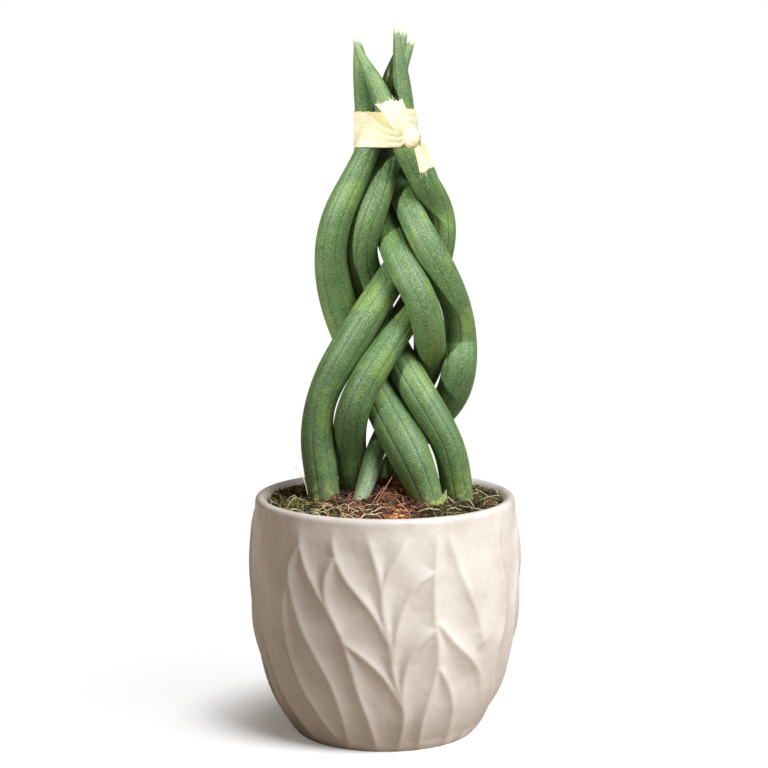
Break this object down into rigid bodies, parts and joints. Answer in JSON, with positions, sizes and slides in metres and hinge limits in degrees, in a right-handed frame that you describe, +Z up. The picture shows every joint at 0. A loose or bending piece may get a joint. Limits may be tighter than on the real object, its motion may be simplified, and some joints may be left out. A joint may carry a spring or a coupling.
{
  "type": "braided cylindrical snake plant in a ceramic pot",
  "caption": "Plaited round-leaved snake plant with a raffia tie, standing in soil, moss and bark in a round glazed pot with a leaf relief.",
  "frame": {"origin": "middle of the flat underside of the pot, on the surface that it stands on", "axes": "+Z up along the pot's axis, -Y towards the front of the plait as the picture shows it, +X to its right"},
  "size_m": [0.1405, 0.1408, 0.3621],
  "materials": {
    "cream_glaze": "gloss",
    "potting_soil": "matte",
    "moss": "matte",
    "bark": "matte",
    "leaf": "satin",
    "raffia": "matte"
  },
  "bodies": {
    "root": {"pot": "cream_glaze", "soil": "potting_soil", "moss": "moss", "bark": "bark", "leaf_a1": "leaf", "leaf_a2": "leaf", "leaf_b1": "leaf", "leaf_b2": "leaf", "leaf_c1": "leaf", "leaf_c2": "leaf", "raffia_tie": "raffia"}
  },
  "joints": []
}
